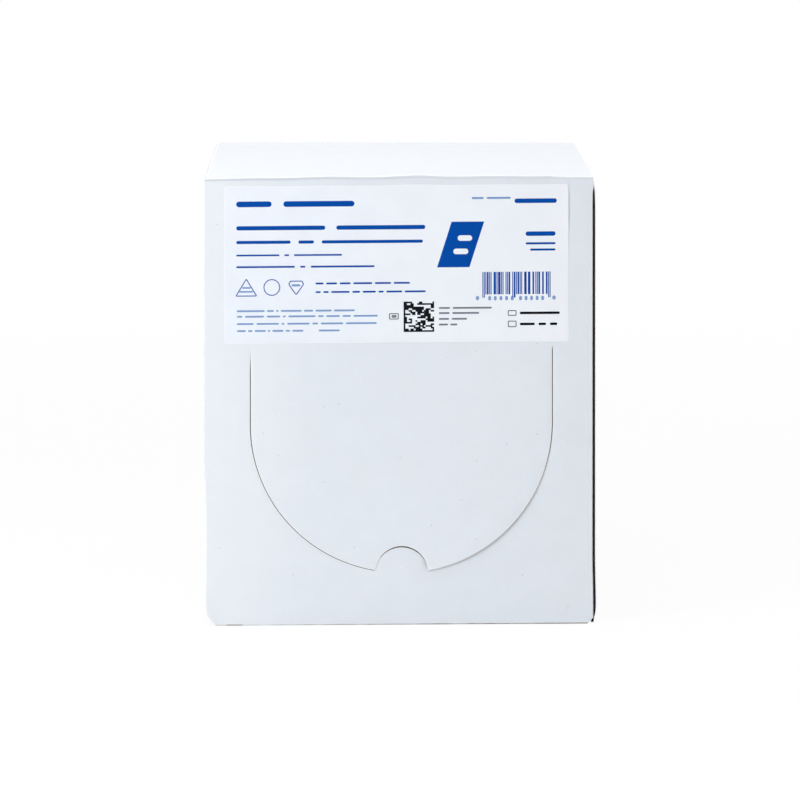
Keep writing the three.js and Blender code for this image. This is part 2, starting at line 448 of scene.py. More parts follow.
def settle(places, on_tab=0):
    """Turns the exact box into one that was folded, filled and handled."""
    places = places.copy()
    x, y, z = places.T
    shares = (x / right, y / back, z / height)
    on_left_panel = x < tube_left - GLUE_GAP / 2
    on_right_panel = x > tube_right + GLUE_GAP / 2
    press_rims(x, y, z, on_left_panel, on_right_panel)
    crush_corners(x, y, z, on_left_panel, on_right_panel)
    bow_walls(x, y, z, *shares)
    bend_top_crease(x, y, z)
    push_dents(x, y, z, on_tab)
    lean_and_twist(x, z, *shares)
    return places


def press_rims(x, y, z, on_left_panel, on_right_panel):
    """Thins the right panel towards its upper edge, and rolls the left one's upper rim in."""
    drop = np.maximum(height - RIGHT_TOP_INSET - z, 0)
    lost = RIM_SQUEEZE * np.exp(-drop / RIM_SQUEEZE_HEIGHT)
    x -= on_right_panel * lost * (x - tube_right)
    on_rim = np.clip(1 - (height - LEFT_TOP_INSET - z) / RIM_HEIGHT, 0, 1)
    roll = on_left_panel * (1 - np.sqrt(1 - on_rim ** 2))
    z -= roll * RIM_ROLL_DROP * (x - left) * ramp(y, front + board, front + 3 * board)
    x += roll * RIM_ROLL * (tube_left + GLUE_GAP - x)
    flare = swell(z, height - FLARE_DROP, 2.2 * MM) * ramp(-y, -front - 3 * MM, -front)
    on_fold = ramp(x, tube_right - 4 * MM, tube_right) * (x < tube_right + 0.01 * MM)
    x += CORNER_FLARE * flare * on_fold


def crush_corners(x, y, z, on_left_panel, on_right_panel):
    """Crushes the front's lower corners in. The end panels keep their thickness behind the
    left fold and in the right one's tucked foot."""
    crush = LEFT_CRUSH * np.clip(1 - z / LEFT_CRUSH_HEIGHT, 0, 1) ** 2.7
    crush *= ramp(-y, -front - LEFT_CRUSH_REACH, -front)
    caved = on_left_panel * ramp(y, front + 0.8 * board, front + 2.4 * board)
    crush_end(x, -1, left, crush, caved)
    near_front = ramp(-y, -front - RIGHT_CRUSH_REACH, -front)
    crush = RIGHT_CRUSH * np.clip(1 - z / RIGHT_CRUSH_HEIGHT, 0, 1) ** 1.1 * near_front
    tucked = on_right_panel * ramp(z, 3.6 * MM, 2.2 * MM)
    crush_end(x, 1, right, crush, tucked)
    y += tucked * FOOT_TUCK * near_front


def crush_end(x, side, face, crush, kept):
    """Crushes an end of the box in; where the board is kept, it moves in without thinning."""
    limit = side * face - crush
    moved = x - face + side * crushed(side * face, limit, 0.4 * crush)
    x[:] = side * crushed(side * x, limit, 0.4 * crush)
    x += kept * (moved - x)


def bow_walls(x, y, z, x_share, y_share, level):
    """Bulges and sags the walls in soft waves that fade out towards the folds."""
    upright = np.sin(math.pi * np.clip(level, 0, 1))
    face_room = (1 - x_share ** 4) * upright
    ripple = 0.6 * np.sin(x * 60 + 1.0) * np.sin(z * 45 + 0.5) + 0.5 * np.cos(x * 25 - z * 30)
    y += np.sign(y) * ramp(np.abs(y), 0, back) * face_room * ripple * BOW
    lid_room = (1 - x_share ** 4) * (1 - y_share ** 4)
    z += ramp(level, 0.5, 1) * lid_room * (0.8 * np.sin(x * 40 + y * 30) - 0.6) * BOW
    panel_room = upright * (1 - y_share ** 4)
    x += np.sign(x) * ramp(np.abs(x), 0, right) * panel_room * np.sin(y * 35 + z * 28) * BOW


def bend_top_crease(x, y, z):
    """Lifts the front top crease unevenly, hangs its ends and stands it out as a lip."""
    at_crease = ramp(-y, -front - 9 * MM, -front) * ramp(z, height - 7 * MM, height)
    z += at_crease * (CREASE_LIFT + CREASE_BUMP * swell(x, 6.5 * MM, 8 * MM))
    z += at_crease * CREASE_WAVE * np.sin(x * 210 + 0.7)
    at_crease *= ramp(z, height - 2.6 * MM, height)
    z -= at_crease * LEFT_DROOP * ramp(-x, 30 * MM, 62 * MM)
    z -= at_crease * RIGHT_DROOP * ramp(x, 54 * MM, 60 * MM)
    lip = swell(z, height - 0.1 * MM, 0.9 * MM) * ramp(-y, -front - 2 * MM, -front)
    y -= lip * CREASE_LIP * (0.6 + 0.4 * np.sin(x * 130 + 2.0))


def push_dents(x, y, z, on_tab):
    """Pushes in the left fold, the thumb tab and the right end above its foot."""
    dent = PANEL_DENT * ramp(z, 62 * MM, 44 * MM) + DENT_DEPTH * swell(z, 28 * MM, 12 * MM)
    dent += UPPER_DENT * ramp(z, 120 * MM, 155 * MM)
    x += dent * ramp(-x, -left - 25 * MM, -left) * ramp(-y, 0, -front)
    dent = swell(x, flap_middle + 9.2 * MM, 1.5 * MM) * swell(z, flap_base + 3.2 * MM, 2.5 * MM)
    y += TAB_DENT * dent * (y < front + 2 * board) * on_tab
    x -= WAIST * ramp(z, 8 * MM, 26 * MM) * ramp(x, 0, right)


def lean_and_twist(x, z, x_share, y_share, level):
    """Tapers the box, leans it to the right and lets the rear of its top sink."""
    x *= 1 - TAPER * (level - 0.5)
    x += LEAN * (level - 0.5)
    at_rear = (1 + y_share) / 2 * level
    x += REAR_SHIFT * at_rear
    z -= (REAR_DROP + TWIST * x_share / 2) * at_rear


# ---- wear and painted highlight along cuts and folds

def edge_distance(points, loops):
    """Distance of each point to the nearest edge of the loops, near them only."""
    nearest = np.full(len(points), 1.0)
    for loop in loops:
        for start, end in zip(loop, np.roll(loop, -1, axis=0)):
            run = end - start
            length = np.linalg.norm(run)
            if length < 1e-9:
                continue
            offset_from_start = points - start
            along = np.clip(offset_from_start @ run / length ** 2, 0, 1)
            gap = np.hypot(*(offset_from_start - along[:, None] * run).T)
            np.minimum(nearest, gap, out=nearest)
    return nearest


def cut_share(points, loops):
    """1 on a cut edge, falling to 0 a band inside it. The seam behind the label isn't cut."""
    share = np.clip(1 - edge_distance(points, loops) / EDGE_BAND, 0, 1)
    u, v = points.T
    z = v - front_wall.start
    on_seam = (np.abs(u) < flap_radius + 2 * MM) & (z > hinge.z) & (z < seam_height + 2 * MM)
    share[on_seam] = 0
    return share


def fold_share(points):
    """1 along the folds, falling to 0 beside them."""
    u, v = points.T
    gap = np.full(len(u), 1.0)
    for wall in walls[1:]:
        gap = np.minimum(gap, np.abs(v - wall.start))
    for ear in ears:
        on_ear = (v > ear.low) & (v < ear.high)
        gap = np.where(on_ear, np.minimum(gap, np.abs(u - ear.crease)), gap)
    return np.clip(1.0 - (gap - FOLD_RADIUS) / (0.5 * MM), 0, 1)


# ---- building a layer

def add_object(name, data):
    made = bpy.data.objects.new(name, data)
    bpy.context.scene.collection.objects.link(made)
    return made


def add_layer(name, region, place, outer, inner, materials, wear_and_shading=None):
    """A closed layer: the region at an outer and an inner depth, with strips along its edges.
    The materials are those of the outer face, the inner face and the edges."""
    count = len(region.points)
    depths = [np.broadcast_to(depth, count).astype(float) for depth in (outer, inner)]
    places = np.concatenate([place(region.points, depth) for depth in depths])
    start, end = region.border.T
    strips = np.column_stack([start, start + count, end + count, end])
    faces = region.triangles.tolist() + (region.triangles[:, ::-1] + count).tolist()
    faces += strips.tolist()
    mesh = bpy.data.meshes.new(name)
    mesh.from_pydata(places.tolist(), [], faces)
    half = len(region.triangles)
    slots = np.repeat([0, 1, 2], [half, half, len(strips)])
    for material in materials:
        mesh.materials.append(material)
    mesh.polygons.foreach_set("material_index", slots.astype(np.int32))
    blank = [np.column_stack([region.points, depth]) for depth in depths]
    wear_and_shading = np.zeros(count) if wear_and_shading is None else wear_and_shading
    for stored, kind, field, values in (
        ("blank", "FLOAT_VECTOR", "vector", np.concatenate(blank)),
        ("wear_and_shading", "FLOAT", "value", np.tile(wear_and_shading, 2)),
    ):
        attribute = mesh.attributes.new(stored, kind, "POINT")
        attribute.data.foreach_set(field, values.astype(np.float32).ravel())
    mesh.shade_smooth()
    mesh.set_sharp_from_angle(angle=math.radians(40))
    mesh.update()
    return add_object(name, mesh)


def place_in_carton(points, depth_in):
    return settle(fold_up(points, depth_in), on_tab=1)


def flute_depth(points):
    """Depth of the middle of the fluting, which waves along v."""
    swing = (board / 2 - LINER - FLUTING / 2) * (1 - fold_share(points))
    return board / 2 + swing * np.cos(2 * math.pi * points[:, 1] / FLUTE_PITCH)


def packed_share(points):
    """1 where the right panel's crushed foot has packed the flutes into a solid mass."""
    u, v = points.T
    tip, foot = right_panel.tip, right_panel.high
    return ramp(u, tip - 14 * MM, tip - 5 * MM) * ramp(v, foot - 3 * MM, foot - 1.6 * MM)


def add_board(prefix, loops, rows, columns, flute_columns, place):
    """The three layers of a stretch of board: face, inside and flutes."""
    region = cut_region(loops, rows, columns, EDGE_BAND)
    cut = cut_share(region.points, loops)
    # whiter along cuts and folds: wear, and partly a painted highlight
    wear_and_shading = np.maximum(cut, 0.3 * fold_share(region.points))
    face = add_layer(
        prefix + "_face", region, place, EDGE_DROP * cut, LINER,
        (white_liner, fluting, raw_edge), wear_and_shading,
    )
    inside_face = add_layer(
        prefix + "_inside", region, place, board - LINER, board - EDGE_DROP * cut,
        (fluting, brown_liner, raw_brown),
    )
    flute_loops = [offset(loop, FLUTE_RECESS) for loop in loops]
    low, high = rows.min(), rows.max()
    flute_rows = np.arange(math.ceil(low / FLUTE_STEP), math.floor(high / FLUTE_STEP) + 1)
    region = cut_region(flute_loops, flute_rows * FLUTE_STEP, flute_columns)
    middle = flute_depth(region.points)
    # the packed share is also the wear mask, with which raw_flute paints shade in the packed foot
    packed_and_shaded = packed_share(region.points)
    flutes = add_layer(
        prefix + "_flutes", region, place,
        middle - FLUTING / 2 + packed_and_shaded * (LINER + FLUTING / 2 - middle),
        middle + FLUTING / 2 + packed_and_shaded * (board - LINER - FLUTING / 2 - middle),
        (fluting, fluting, raw_flute), packed_and_shaded,
    )
    return face, inside_face, flutes


def make_carton(mouth):
    loops = [blank_outline(), mouth]
    columns = blank_columns(GRID)
    flute_columns = merged_marks(blank_columns(FLUTE_GRID), 0.5 * MM)
    creases = np.array([ear.crease for ear in ears])
    apart = np.abs(flute_columns[:, None] - creases).min(axis=1) > 0.5 * MM
    flute_columns = np.union1d(flute_columns[apart], creases)
    pieces = add_board("carton", loops, blank_rows(GRID), columns, flute_columns, place_in_carton)
    for piece in pieces:
        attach(piece, "box")
    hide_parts("carton")


FLAP_LIFT = 1.0 * MM  # how far the flap's lower right corner has sprung out
HINGE_BEND = 1.4 * MM  # the crease bends the board this far above and below the hinge


def place_in_flap(points, depth_in):
    """The flap hangs in the front wall, sprung out a little towards its lower right."""
    places = fold_up(points, depth_in)
    x, _, z = places.T
    hang = np.clip((hinge.z - z) / (hinge.z - flap_low.z), 0, 1)
    places[:, 1] -= FLAP_LIFT * hang ** 1.3 * (0.12 + 0.88 * ramp(x, -20 * MM, 32 * MM))
    return settle(places)


def make_flap(outline):
    bend = HINGE_BEND * np.array([-1, -0.75, -0.5, -0.25, 0, 0.25, 0.5, 0.75, 1])
    low = front_wall.start + flap_base
    plain = spread(low, front_wall.start + hinge.z - HINGE_BEND - 2 * MM, 3 * MM)
    rows = np.concatenate([plain, front_wall.start + hinge.z + bend, [front_wall.start + seam_height]])
    columns = spread(flap_low.x, flap_high.x, 3 * MM)
    flute_columns = spread(flap_low.x, flap_high.x, FLUTE_GRID)
    pieces = add_board("flap", [outline], merged_marks(rows), columns, flute_columns, place_in_flap)
    for piece in pieces:
        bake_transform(piece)
    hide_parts("dispenser_flap")


# ---- label

LABEL_TILT = math.radians(0.15)
LABEL_DROP = 0.275 * MM
LABEL_TRIM = 0.47 * MM  # it is cut this much shorter than its drawing
LABEL_CORNER = 0.9 * MM
LABEL_PAPER = 0.1 * MM
LABEL_CURL = 0.25 * MM  # how far the upper right edge has lifted
LABEL_CRUMPLE = 0.12 * MM  # and how far a small crumple beside it stands up
LABEL_EDGE = 0.3 * MM  # width of the bright band along its cut edge, a painted highlight
PRINT_FILM = 0.02 * MM  # how far the print stands on the paper

label_centre = (label_low + label_high) / 2
label_width = (label_high.x - label_low.x) * math.cos(LABEL_TILT) + 0.15 * MM
label_height = label_high.z - label_low.z - label_width * math.sin(LABEL_TILT) - LABEL_TRIM


def place_on_label(points, depth_in):
    """Points of the label, measured right and up from its upper left corner."""
    along, up = points.T
    across = along - label_width / 2
    rise = label_height / 2 + up
    x = label_centre.x + across * math.cos(LABEL_TILT) - rise * math.sin(LABEL_TILT)
    z = label_centre.z + across * math.sin(LABEL_TILT) + rise * math.cos(LABEL_TILT) - LABEL_DROP
    curl = ramp(along, label_width - 2.5 * MM, label_width) * swell(up, -9 * MM, 8 * MM)
    crumple = swell(along, 110 * MM, 3 * MM) * swell(up, -2 * MM, 1.5 * MM)
    y = front - LABEL_PAPER + depth_in - LABEL_CURL * curl - LABEL_CRUMPLE * crumple
    return settle(np.column_stack([x, y, z]))


def make_label():
    corners = [(0, -label_height), (label_width, -label_height), (label_width, 0), (0, 0)]
    loop = rounded([(u, v, LABEL_CORNER) for u, v in corners], 0.25 * MM)
    rows = spread(-label_height, 0, 2.5 * MM)
    region = cut_region([loop], rows, spread(0, label_width, 2.5 * MM), LABEL_EDGE)
    # painted highlight along the label's cut edge
    wear_and_shading = np.clip(1 - edge_distance(region.points, [loop]) / LABEL_EDGE, 0, 1)
    piece = add_layer(
        "label_sheet", region, place_on_label, 0.0, LABEL_PAPER - 0.01 * MM,
        (label_paper, label_paper, label_paper), wear_and_shading,
    )
    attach(piece, "box")
    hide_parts("label")


# The print is greeked: words are plain bars. Every place is (right, down) from the label's
# upper left corner, in millimetres. A line has a start, an end, a middle, a thickness and
# then the length of each word.
BLUE_LINES = (
    (4.4, 47.0, 6.3, 2.0, 3, 6),
    (4.4, 72.5, 14.9, 1.5, 8, 8),
    (4.4, 71.6, 20.0, 1.1, 7, 2, 13),
    (4.4, 42.5, 24.7, 0.6, 9, 1, 10),
    (4.4, 54.2, 28.9, 0.65, 11, 1, 12),
    (32.9, 66.9, 35.0, 0.65, 3, 4, 4, 7, 6, 6),
    (32.9, 72.6, 38.1, 0.65, 2, 2, 7, 3, 5, 2, 6, 8),
    (104.8, 120.1, 5.75, 1.6, 5),
    (108.8, 119.6, 17.6, 1.6, 3),
    (108.8, 119.6, 21.1, 0.75, 8),
    (110.4, 119.6, 23.35, 0.75, 7),
)
PALE_BLUE_LINES = (
    (6.5, 9.6, 36.4, 0.6, 3),
    (5.4, 10.4, 37.8, 0.6, 7),
    (24.3, 27.5, 35.6, 0.8, 4),
    (4.6, 47.0, 44.8, 0.65, 12, 3, 1, 9, 4, 7, 9),
    (4.6, 55.3, 46.8, 0.65, 2, 7, 5, 1, 10, 2, 5, 3, 9),
    (4.6, 54.9, 49.45, 0.65, 6, 8, 1, 8, 2, 8, 11),
    (4.6, 28.5, 52.0, 0.65, 4, 2, 5, 1, 5, 2, 5),
    (34.0, 41.6, 52.0, 0.65, 7),
    (89.3, 103.4, 4.65, 0.75, 4, 8),
    (90.7, 91.9, 40.7, 1.5, 1),
    (95.2, 104.4, 40.8, 1.6, 1, 1, 1, 1, 1),
    (106.4, 115.4, 40.8, 1.6, 1, 1, 1, 1, 1),
    (118.4, 119.6, 40.7, 1.5, 1),
)
GREY_LINES = (
    (60.2, 62.1, 47.1, 1.0, 3),
    (77.3, 96.5, 44.2, 0.65, 4, 14),
    (77.3, 91.9, 46.05, 0.65, 4, 10),
    (77.3, 87.5, 48.15, 0.65, 4, 6),
    (77.3, 84.0, 50.2, 0.65, 4, 3),
)
BLACK_LINES = (
    (106.6, 121.1, 46.2, 0.9, 10),
    (106.6, 120.2, 50.2, 0.9, 4, 2, 2),
)
KNOCKED_OUT_LINES = (
    (84.2, 89.4, 19.0, 2.0, 4),
    (82.6, 88.0, 23.8, 2.0, 4),
)
SLANTED_FIELD = ((76.7, 29.5), (88.4, 29.5), (93.8, 13.1), (82.0, 13.1))
TRIANGLE = ((4.0, 39.5), (12.0, 39.5), (8.0, 32.9))
SHIELD = ((23.1, 35.2), (25.95, 39.4), (28.8, 35.2), (28.1, 33.9), (23.8, 33.9))
CIRCLE_BOX = (14.2, 33.3, 20.2, 39.3)  # left, top, right and bottom, as below
SMALL_BOXES = ((59.4, 46.0, 62.8, 48.2), (102.3, 45.2, 105.4, 47.2), (102.3, 49.0, 105.4, 51.3))
SYMBOL_STROKE = 0.34
BOX_STROKE = 0.28
BARCODE = (93.1, 31.3, 117.7, 39.4)
BARCODE_PARTS = 59  # bars and gaps, in turn
GUARD_BARS = (0, 2, 28, 30, 56, 58)
GUARD_DROP = 1.2
INK_SPREAD = 0.25  # how far the bars' ink has spread, in units
CODE_SQUARE = (64.6, 41.8, 75.6, 52.8)
CODE_MODULES = 18
CODE_INKED = 0.58  # share of its runs that are printed


def box_corners(start, top, end, bottom, radius=0.0):
    """A box's corners, anticlockwise with v up."""
    corners = ((start, bottom), (end, bottom), (end, top), (start, top))
    return [(u, -down, radius) for u, down in corners]


def loop_of(corners, step=0.2 * MM):
    """A closed line through rounded corners that are given in millimetres."""
    return rounded([(u * MM, v * MM, radius * MM) for u, v, radius in corners], step)


def bar(*box):
    return [loop_of(box_corners(*box))]


def word_bars(start, end, middle, thick, *words):
    """One rounded bar for each word, as long as its letters, with a letter's gap between."""
    pitch = (end - start) / (sum(words) + len(words) - 1)
    top = middle - thick / 2
    bars = []
    for word in words:
        radius = 0.49 * min(thick, word * pitch)
        bars.append(bar(start, top, start + word * pitch, top + thick, radius))
        start += (word + 1) * pitch
    return bars


def ring_of(corners, stroke):
    """A closed outline drawn with a stroke: the corners and the same line inside it."""
    line = loop_of(corners, 0.3 * MM)
    return [line, offset(line, stroke * MM)[::-1]]


def symbols():
    """Plain outlined shapes: a triangle, a circle, a shield and three small boxes."""
    triangle = [(u, -down, 0.3) for u, down in TRIANGLE]
    shield = [(u, -down, 0.6) for u, down in SHIELD]
    circle = box_corners(*CIRCLE_BOX, 2.99)
    blue = [ring_of(corners, SYMBOL_STROKE) for corners in (triangle, circle, shield)]
    black = [ring_of(box_corners(*box, 0.3), BOX_STROKE) for box in SMALL_BOXES]
    return blue, black


def barcode_bars(draw):
    """Bars and gaps of random widths, one to three units each, with pairs of longer bars."""
    start, top, end, bottom = BARCODE
    widths = [draw.choice((1, 1, 2, 3)) for _ in range(BARCODE_PARTS)]
    widths[:3] = widths[-3:] = (1, 1, 1)
    unit = (end - start) / sum(widths)
    bars = []
    position = start
    for number, width in enumerate(widths):
        if number % 2 == 0:
            low = bottom + (GUARD_DROP if number in GUARD_BARS else 0)
            bars.append(bar(position, top, position + (width + INK_SPREAD) * unit, low))
        position += width * unit
    return bars


def code_square(draw):
    """A square field of random modules with a solid left and lower side."""
    start, top, end, bottom = CODE_SQUARE
    unit = (end - start) / CODE_MODULES
    bars = [bar(start, top, start + unit, bottom), bar(start, bottom - unit, end, bottom)]
    for row in range(CODE_MODULES - 1):
        column = 1
        while column < CODE_MODULES:
            run = min(draw.choice((1, 1, 2, 2, 3)), CODE_MODULES - column)
            if draw.random() < CODE_INKED:
                high = top + row * unit
                first = start + column * unit
                bars.append(bar(first, high, first + run * unit, high + unit))
            column += run
    return bars


def add_print(name, shapes, material, film=PRINT_FILM):
    """Thin printed shapes on the label, joined into one piece."""
    points, triangles, border = [], [], []
    total = 0
    for loops in shapes:
        span = np.concatenate(loops)
        low, high = span.min(axis=0), span.max(axis=0)
        rows = spread(low[1], high[1], 4 * MM)[1:-1]
        columns = spread(low[0], high[0], 4 * MM)[1:-1]
        region = cut_region(loops, rows, columns)
        points.append(region.points)
        triangles.append(region.triangles + total)
        border.append(region.border + total)
        total += len(region.points)
    region = Region(*(np.concatenate(part) for part in (points, triangles, border)))
    piece = add_layer(
        name, region, place_on_label, -film, 0.5 * PRINT_FILM,
        (material, material, material),
    )
    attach(piece, "box")


def text(lines):
    return [shape for line in lines for shape in word_bars(*line)]


def make_print():
    draw = random.Random(7)
    barcode = barcode_bars(draw)
    square = code_square(draw)
    blue_symbols, black_symbols = symbols()
    field = [loop_of([(u, -down, 0) for u, down in SLANTED_FIELD])]
    add_print("print_blue", text(BLUE_LINES) + barcode + blue_symbols + [field], blue_ink)
    add_print("print_pale_blue", text(PALE_BLUE_LINES), pale_blue_ink)
    add_print("print_black", text(BLACK_LINES) + square + black_symbols, black_ink)
    add_print("print_grey", text(GREY_LINES), grey_ink)
    add_print("print_knockout", text(KNOCKED_OUT_LINES), label_paper, 2 * PRINT_FILM)


# ---- materials

def srgb(tone):
    """A shader's colour from one given as it looks on screen, 0 to 255."""
    shares = [value / 255 for value in tone]
    linear = [v / 12.92 if v <= 0.04045 else ((v + 0.055) / 1.055) ** 2.4 for v in shares]
    return (*linear, 1.0)


def feed(tree, node, inputs):
    """Sets a node's inputs. Each is a number, a colour or the socket that feeds it."""
    for name, value in inputs.items():
        if isinstance(value, bpy.types.NodeSocket):
            tree.links.new(value, node.inputs[name])
        else:
            node.inputs[name].default_value = value


def add_node(tree, kind, inputs, **settings):
    node = tree.nodes.new("ShaderNode" + kind)
    for name, value in settings.items():
        setattr(node, name, value)
    feed(tree, node, inputs)
    return node


class Paper:
    """A material whose patterns lie in the blank, measured in millimetres, so that they
    follow the board round its folds and stay on it when it moves."""

    def __init__(self, name, roughness, specular, tone):
        self.material = bpy.data.materials.new(name)
        self.material.use_nodes = True
        self.tree = self.material.node_tree
        self.shader = self.tree.nodes["Principled BSDF"]
        feed(self.tree, self.shader, {"Roughness": roughness, "Specular IOR Level": specular})
        stored = self.add("Attribute", "Vector", {}, attribute_name="blank")
        inputs = {0: stored, "Scale": 1 / MM}
        self.place = self.add("VectorMath", 0, inputs, operation="SCALE")
        self.across = self.add("SeparateXYZ", 0, {0: self.place})
        self.along = self.add("SeparateXYZ", 1, {0: self.place})
        self.wear_and_shading = self.add("Attribute", "Fac", {}, attribute_name="wear_and_shading")
        self.colour = srgb(tone)

    def add(self, kind, output, inputs, **settings):
        return add_node(self.tree, kind, inputs, **settings).outputs[output]

    def noise(self, size, detail, stretch=(1, 1, 1)):
        """Cloudy noise, 0 to 1, with features of about that size in millimetres."""
        scale = [share / size for share in stretch]
        vector = self.add("Mapping", 0, {"Vector": self.place, "Scale": scale})
        return self.add("TexNoise", "Fac", {"Vector": vector, "Scale": 1.0, "Detail": detail})

    def ranged(self, value, start, end, low=0, high=1):
        """Goes smoothly from low to high as the value goes from start to end."""
        inputs = {"Value": value, "From Min": start, "From Max": end, "To Min": low, "To Max": high}
        return self.add("MapRange", "Result", inputs, interpolation_type="SMOOTHSTEP")

    def math(self, operation, *values):
        return self.add("Math", 0, dict(enumerate(values)), operation=operation)

    def band(self, value, start, full, fading, end):
        """1 between full and fading, and 0 before the start and past the end."""
        rise = self.ranged(value, start, full)
        return self.math("MULTIPLY", rise, self.ranged(value, fading, end, 1, 0))

    def tint(self, share, tone):
        """Mixes a share of a tone into the colour."""
        inputs = {"Factor": share, 6: self.colour, 7: srgb(tone)}
        self.colour = self.add("Mix", 2, inputs, data_type="RGBA")

    def specks(self, spacing, radius, share, strength):
        """Small round specks, as strong as given: one cell in so many holds one."""
        scale = (1 / spacing, 1 / spacing, 0)
        vector = self.add("Mapping", 0, {"Vector": self.place, "Scale": scale})
        inputs = {"Vector": vector, "Scale": 1.0}
        cells = add_node(self.tree, "TexVoronoi", inputs, voronoi_dimensions="2D").outputs
        size = radius / spacing
        spot = self.ranged(cells["Distance"], 0.5 * size, size, strength, 0)
        chance = self.add("SeparateColor", 0, {0: cells["Color"]})
        return self.math("MULTIPLY", spot, self.math("LESS_THAN", chance, share))

    def bump(self, height_value, depth_mm, below=None):
        inputs = {"Strength": 1.0, "Distance": depth_mm * MM, "Height": height_value}
        if below:
            inputs["Normal"] = below
        return self.add("Bump", "Normal", inputs)

    def finish(self, normal):
        feed(self.tree, self.shader, {"Base Color": self.colour, "Normal": normal})
        return self.material


def make_white_liner():
    """Clay-coated white paper: faintly mottled, with specks, whiter where it is creased or cut, as
    wear and partly as a painted highlight, with painted light and shade on the front, and with the
    flutes just showing through."""
    paper = Paper("white_liner", 0.62, 0.35, (225.5, 231, 237.5))
    mottle = paper.ranged(paper.noise(9, 4), 0.3, 0.7)
    paper.tint(mottle, (227.5, 233, 239.5))
    fibre = paper.ranged(paper.noise(0.7, 3), 0.35, 0.7, 0, 0.35)
    paper.tint(fibre, (232, 237, 243))
    warm = paper.ranged(paper.noise(22, 2), 0.55, 0.75, 0, 0.3)
    paper.tint(warm, (228, 229, 236))
    paper.tint(paper.specks(5.5, 0.28, 0.045, 0.5), (150, 146, 150))
    paper.tint(paper.specks(7.3, 0.3, 0.08, 0.6), (250, 251, 252))
    rough = paper.ranged(paper.noise(1.1, 3), 0.3, 0.7, 0.65, 1.0)
    # wear, and partly a painted highlight: cuts and folds are tinted whiter
    worn_and_highlight = paper.math("MULTIPLY", paper.wear_and_shading, rough)
    paper.tint(worn_and_highlight, (252, 252, 252))
    # painted light at the front's left and painted shade under its top crease
    add_painted_crease_shade_and_left_light(paper)
    # painted shade along the front's lower crease
    add_painted_foot_shade(paper)
    angle = paper.math("MULTIPLY", paper.along, 2 * math.pi * MM / FLUTE_PITCH)
    normal = paper.bump(paper.math("SINE", angle), 0.0005)
    normal = paper.bump(paper.noise(2.2, 4), 0.02, normal)
    return paper.finish(normal)


def add_painted_crease_shade_and_left_light(paper):
    """Painted light and shade on the front: it is painted paler at its left as painted light, and has
    a painted grey shade in the pressed score under its top crease, fading towards the right."""
    crease = top_wall.start / MM
    start, end = left / MM, right / MM
    below = paper.ranged(paper.along, crease - 0.3, crease, 1, 0)
    painted_left_light = paper.ranged(paper.across, start, start + 45, 0.2, 0)
    # painted light: the left of the front is tinted whiter
    paper.tint(paper.math("MULTIPLY", painted_left_light, below), (255, 255, 255))
    painted_crease_shade = paper.band(paper.along, crease - 1.5, crease - 0.9, crease - 0.4, crease - 0.2)
    strength = paper.ranged(paper.across, start, end, 0.6, 0.25)
    # painted shade: a grey band under the top crease
    paper.tint(paper.math("MULTIPLY", painted_crease_shade, strength), (196, 202, 210))


def add_painted_foot_shade(paper):
    """Painted shade along the front's lower crease, where the box meets the floor: patchy, heavier at
    the right, and with a dark dash near the left corner."""
    crease = front_wall.start / MM
    shaded_band = paper.band(paper.along, crease - 4, crease - 0.5, crease + 0.25, crease + 0.5)
    patchy = paper.ranged(paper.noise(9, 3, (1, 0, 0)), 0.35, 0.6, 0.35, 0.85)
    rightward = paper.ranged(paper.across, left / MM + 4, 30, 0.35, 1.15)
    foot_shade = paper.math("MULTIPLY", patchy, rightward)
    foot_shade = paper.math("MAXIMUM", foot_shade, paper.ranged(paper.across, 42, 56, 0, 1.2))
    foot_shade = paper.math("MAXIMUM", foot_shade, paper.band(paper.across, -64, -62.4, -58, -56))
    # painted shade: the band along the lower crease, where the box meets the floor, is darkened
    paper.tint(paper.math("MULTIPLY", shaded_band, foot_shade), (112, 100, 98))


def make_brown_liner():
    """Plain kraft paper with darker and paler fibres that run along the flutes. The strip beside the
    right end panel's free edge is painted dark as shade, deep in the glued seam."""
    paper = Paper("brown_liner", 0.85, 0.2, (172, 138, 100))
    paper.tint(paper.noise(6, 4), (196, 163, 124))
    fibre = paper.ranged(paper.noise(0.5, 4, (0.2, 1, 1)), 0.45, 0.75, 0, 0.6)
    paper.tint(fibre, (216, 188, 150))
    paper.tint(paper.specks(3.1, 0.3, 0.3, 0.5), (110, 82, 56))
    tip = right_panel.tip / MM
    # painted shade: the strip beside the right panel's free edge is darkened
    painted_seam_shade = paper.ranged(paper.across, tip - 14, tip - 6, 0, 0.92)
    paper.tint(painted_seam_shade, (28, 21, 22))
    return paper.finish(paper.bump(paper.noise(0.8, 4), 0.03))


# A grain's tones are noise of a size and detail, and its bumps another, of a depth.
Grain = namedtuple("Grain", "roughness specular tones bumps depth")
ROUGH_PAPER = Grain(0.95, 0.1, (1.5, 4), (0.4, 4), 0.03)
TORN_PAPER = Grain(0.92, 0.1, (0.5, 3), (0.25, 3), 0.03)
INK = Grain(0.55, 0.05, (0.6, 3), (1.5, 2), 0.003)


def make_grainy(name, grain, low, high, packed_and_shaded=None):
    """A grain between two tones. A third tone, where given, is laid on by the wear mask: painted shade
    in the right panel's packed foot.
    """
    paper = Paper(name, grain.roughness, grain.specular, low)
    paper.tint(paper.noise(*grain.tones), high)
    if packed_and_shaded:
        paper.tint(paper.wear_and_shading, packed_and_shaded)
    return paper.finish(paper.bump(paper.noise(*grain.bumps), grain.depth))


